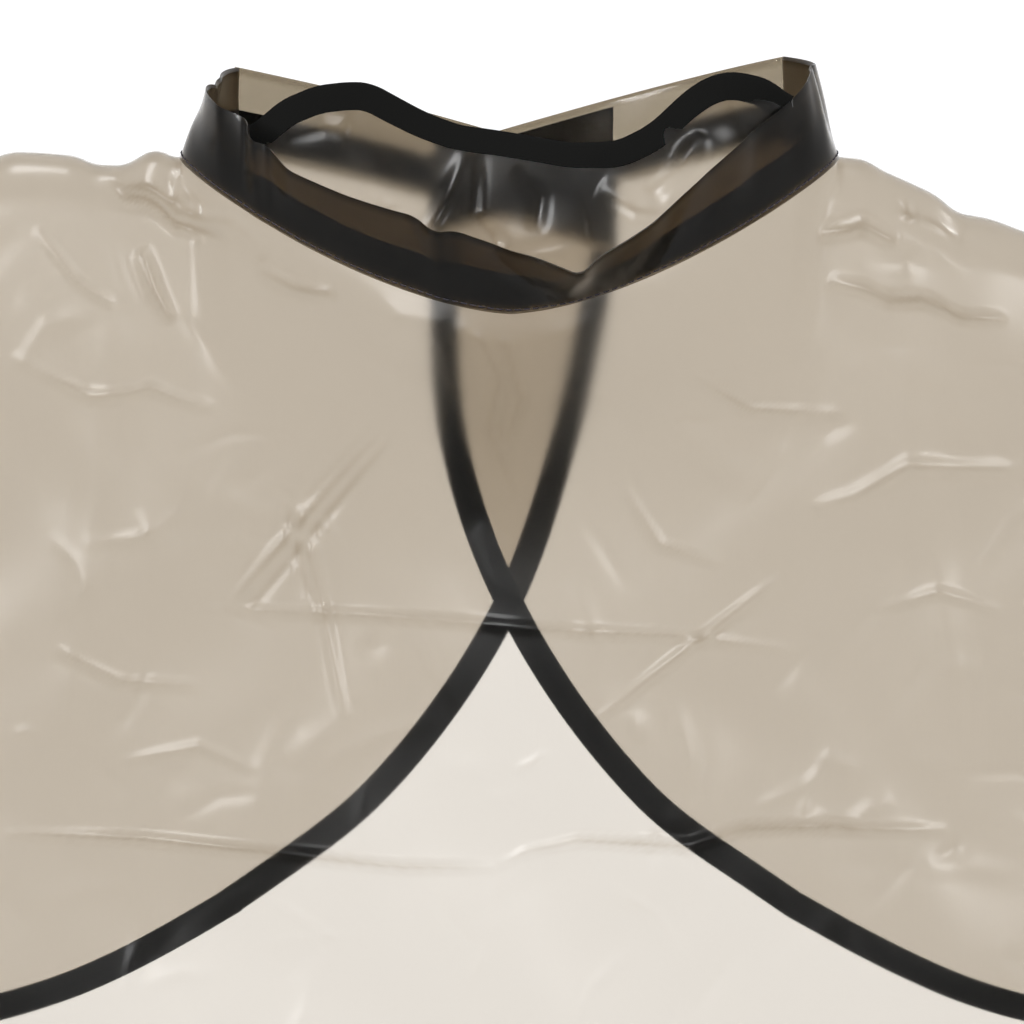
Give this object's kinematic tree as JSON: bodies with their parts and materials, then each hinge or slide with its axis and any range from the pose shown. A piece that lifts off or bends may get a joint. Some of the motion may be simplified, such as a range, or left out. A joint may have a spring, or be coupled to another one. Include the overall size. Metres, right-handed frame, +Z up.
{
  "type": "barber cape",
  "caption": "Hanging barber cape of smoke-tinted frosted film with black bound edges, a stand-up collar, an inner neck guard and a hook-and-loop closure behind.",
  "frame": {"origin": "centre of the neck seam, level with its two sides, where a neck would pass through", "axes": "+Z up, the front of the cape faces -Y, +X towards the right of someone looking at its front"},
  "size_m": [0.7644, 0.1436, 1.0552],
  "materials": {
    "film": "frosted translucent smoke-brown vinyl film with soft gloss",
    "collar_film": "doubled frosted translucent film, glossy",
    "binding_tape": "black folded binding tape, faint sheen",
    "collar_tape": "black woven stiffening tape",
    "hook_tape": "black hook tape, matt",
    "loop_tape": "black loop tape, matt and napped",
    "thread": "black sewing thread"
  },
  "bodies": {
    "cape": {"front_sheet": "film", "hem_binding": "binding_tape", "left_front_fall": "film", "left_front_fall_binding": "binding_tape", "left_back_fall": "film", "left_back_fall_binding": "binding_tape", "right_front_fall": "film", "right_front_fall_binding": "binding_tape", "right_back_fall": "film", "right_back_fall_binding": "binding_tape", "left_back_panel": "film", "left_lower_back_binding": "binding_tape", "right_back_panel": "film", "right_lower_back_binding": "binding_tape", "collar_outer_ply": "collar_film", "collar_inner_ply": "collar_film", "collar_tape": "collar_tape", "collar_thread": "thread", "neck_guard": "film", "neck_guard_binding": "binding_tape"},
    "left_back": {"left_back_flap": "film", "left_back_edge_binding": "binding_tape", "left_strap_outer_ply": "collar_film", "left_strap_inner_ply": "collar_film", "left_strap_tape": "collar_tape", "left_strap_thread": "thread", "hook_patch": "hook_tape"},
    "right_back": {"right_back_flap": "film", "right_back_edge_binding": "binding_tape", "right_strap_outer_ply": "collar_film", "right_strap_inner_ply": "collar_film", "right_strap_tape": "collar_tape", "right_strap_thread": "thread", "loop_patch": "loop_tape"}
  },
  "joints": [
    {"name": "left_back_opens", "type": "hinge", "parent": "cape", "child": "left_back", "pos_m": [-0.1058, 0.0284, 0], "axis": [0, 0.0628, 0.998], "range_deg": [0, 75]},
    {"name": "right_back_opens", "type": "hinge", "parent": "cape", "child": "right_back", "pos_m": [0.1058, 0.0284, 0], "axis": [0, 0.0628, 0.998], "range_deg": [-34, 0]}
  ],
  "couplings": [
    {"joint": "right_back_opens", "follows": "left_back_opens", "ratio": -0.45}
  ]
}
